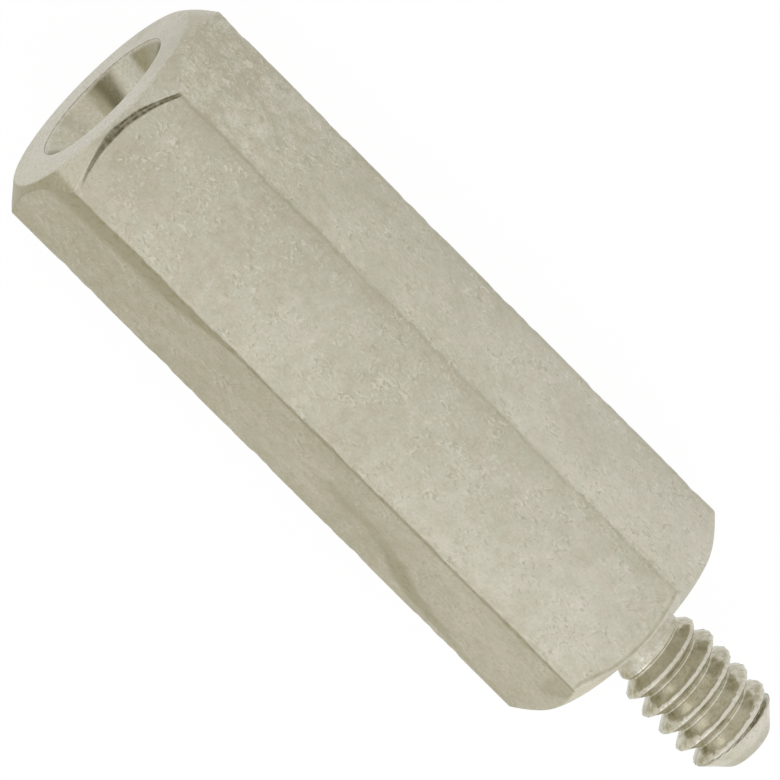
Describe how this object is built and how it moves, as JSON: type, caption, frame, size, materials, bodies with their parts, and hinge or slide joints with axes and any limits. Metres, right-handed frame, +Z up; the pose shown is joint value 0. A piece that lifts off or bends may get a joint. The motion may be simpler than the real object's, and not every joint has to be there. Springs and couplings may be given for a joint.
{
  "type": "hex standoff",
  "caption": "Male-female hexagonal standoff: a hexagon bar body with chamfered ends, a countersunk tapped hole in one end and a threaded stud on the other.",
  "frame": {"origin": "on the axis, in the plane of the shoulder that seats against a panel", "axes": "+X along the axis from the tapped end to the tip of the stud, +Z up: the part lies on one of its flats"},
  "size_m": [0.0239, 0.0072, 0.0064],
  "materials": {
    "nickel_plate": "satin nickel plate over turned brass"
  },
  "bodies": {
    "root": {"hex_standoff": "nickel_plate"}
  },
  "joints": []
}
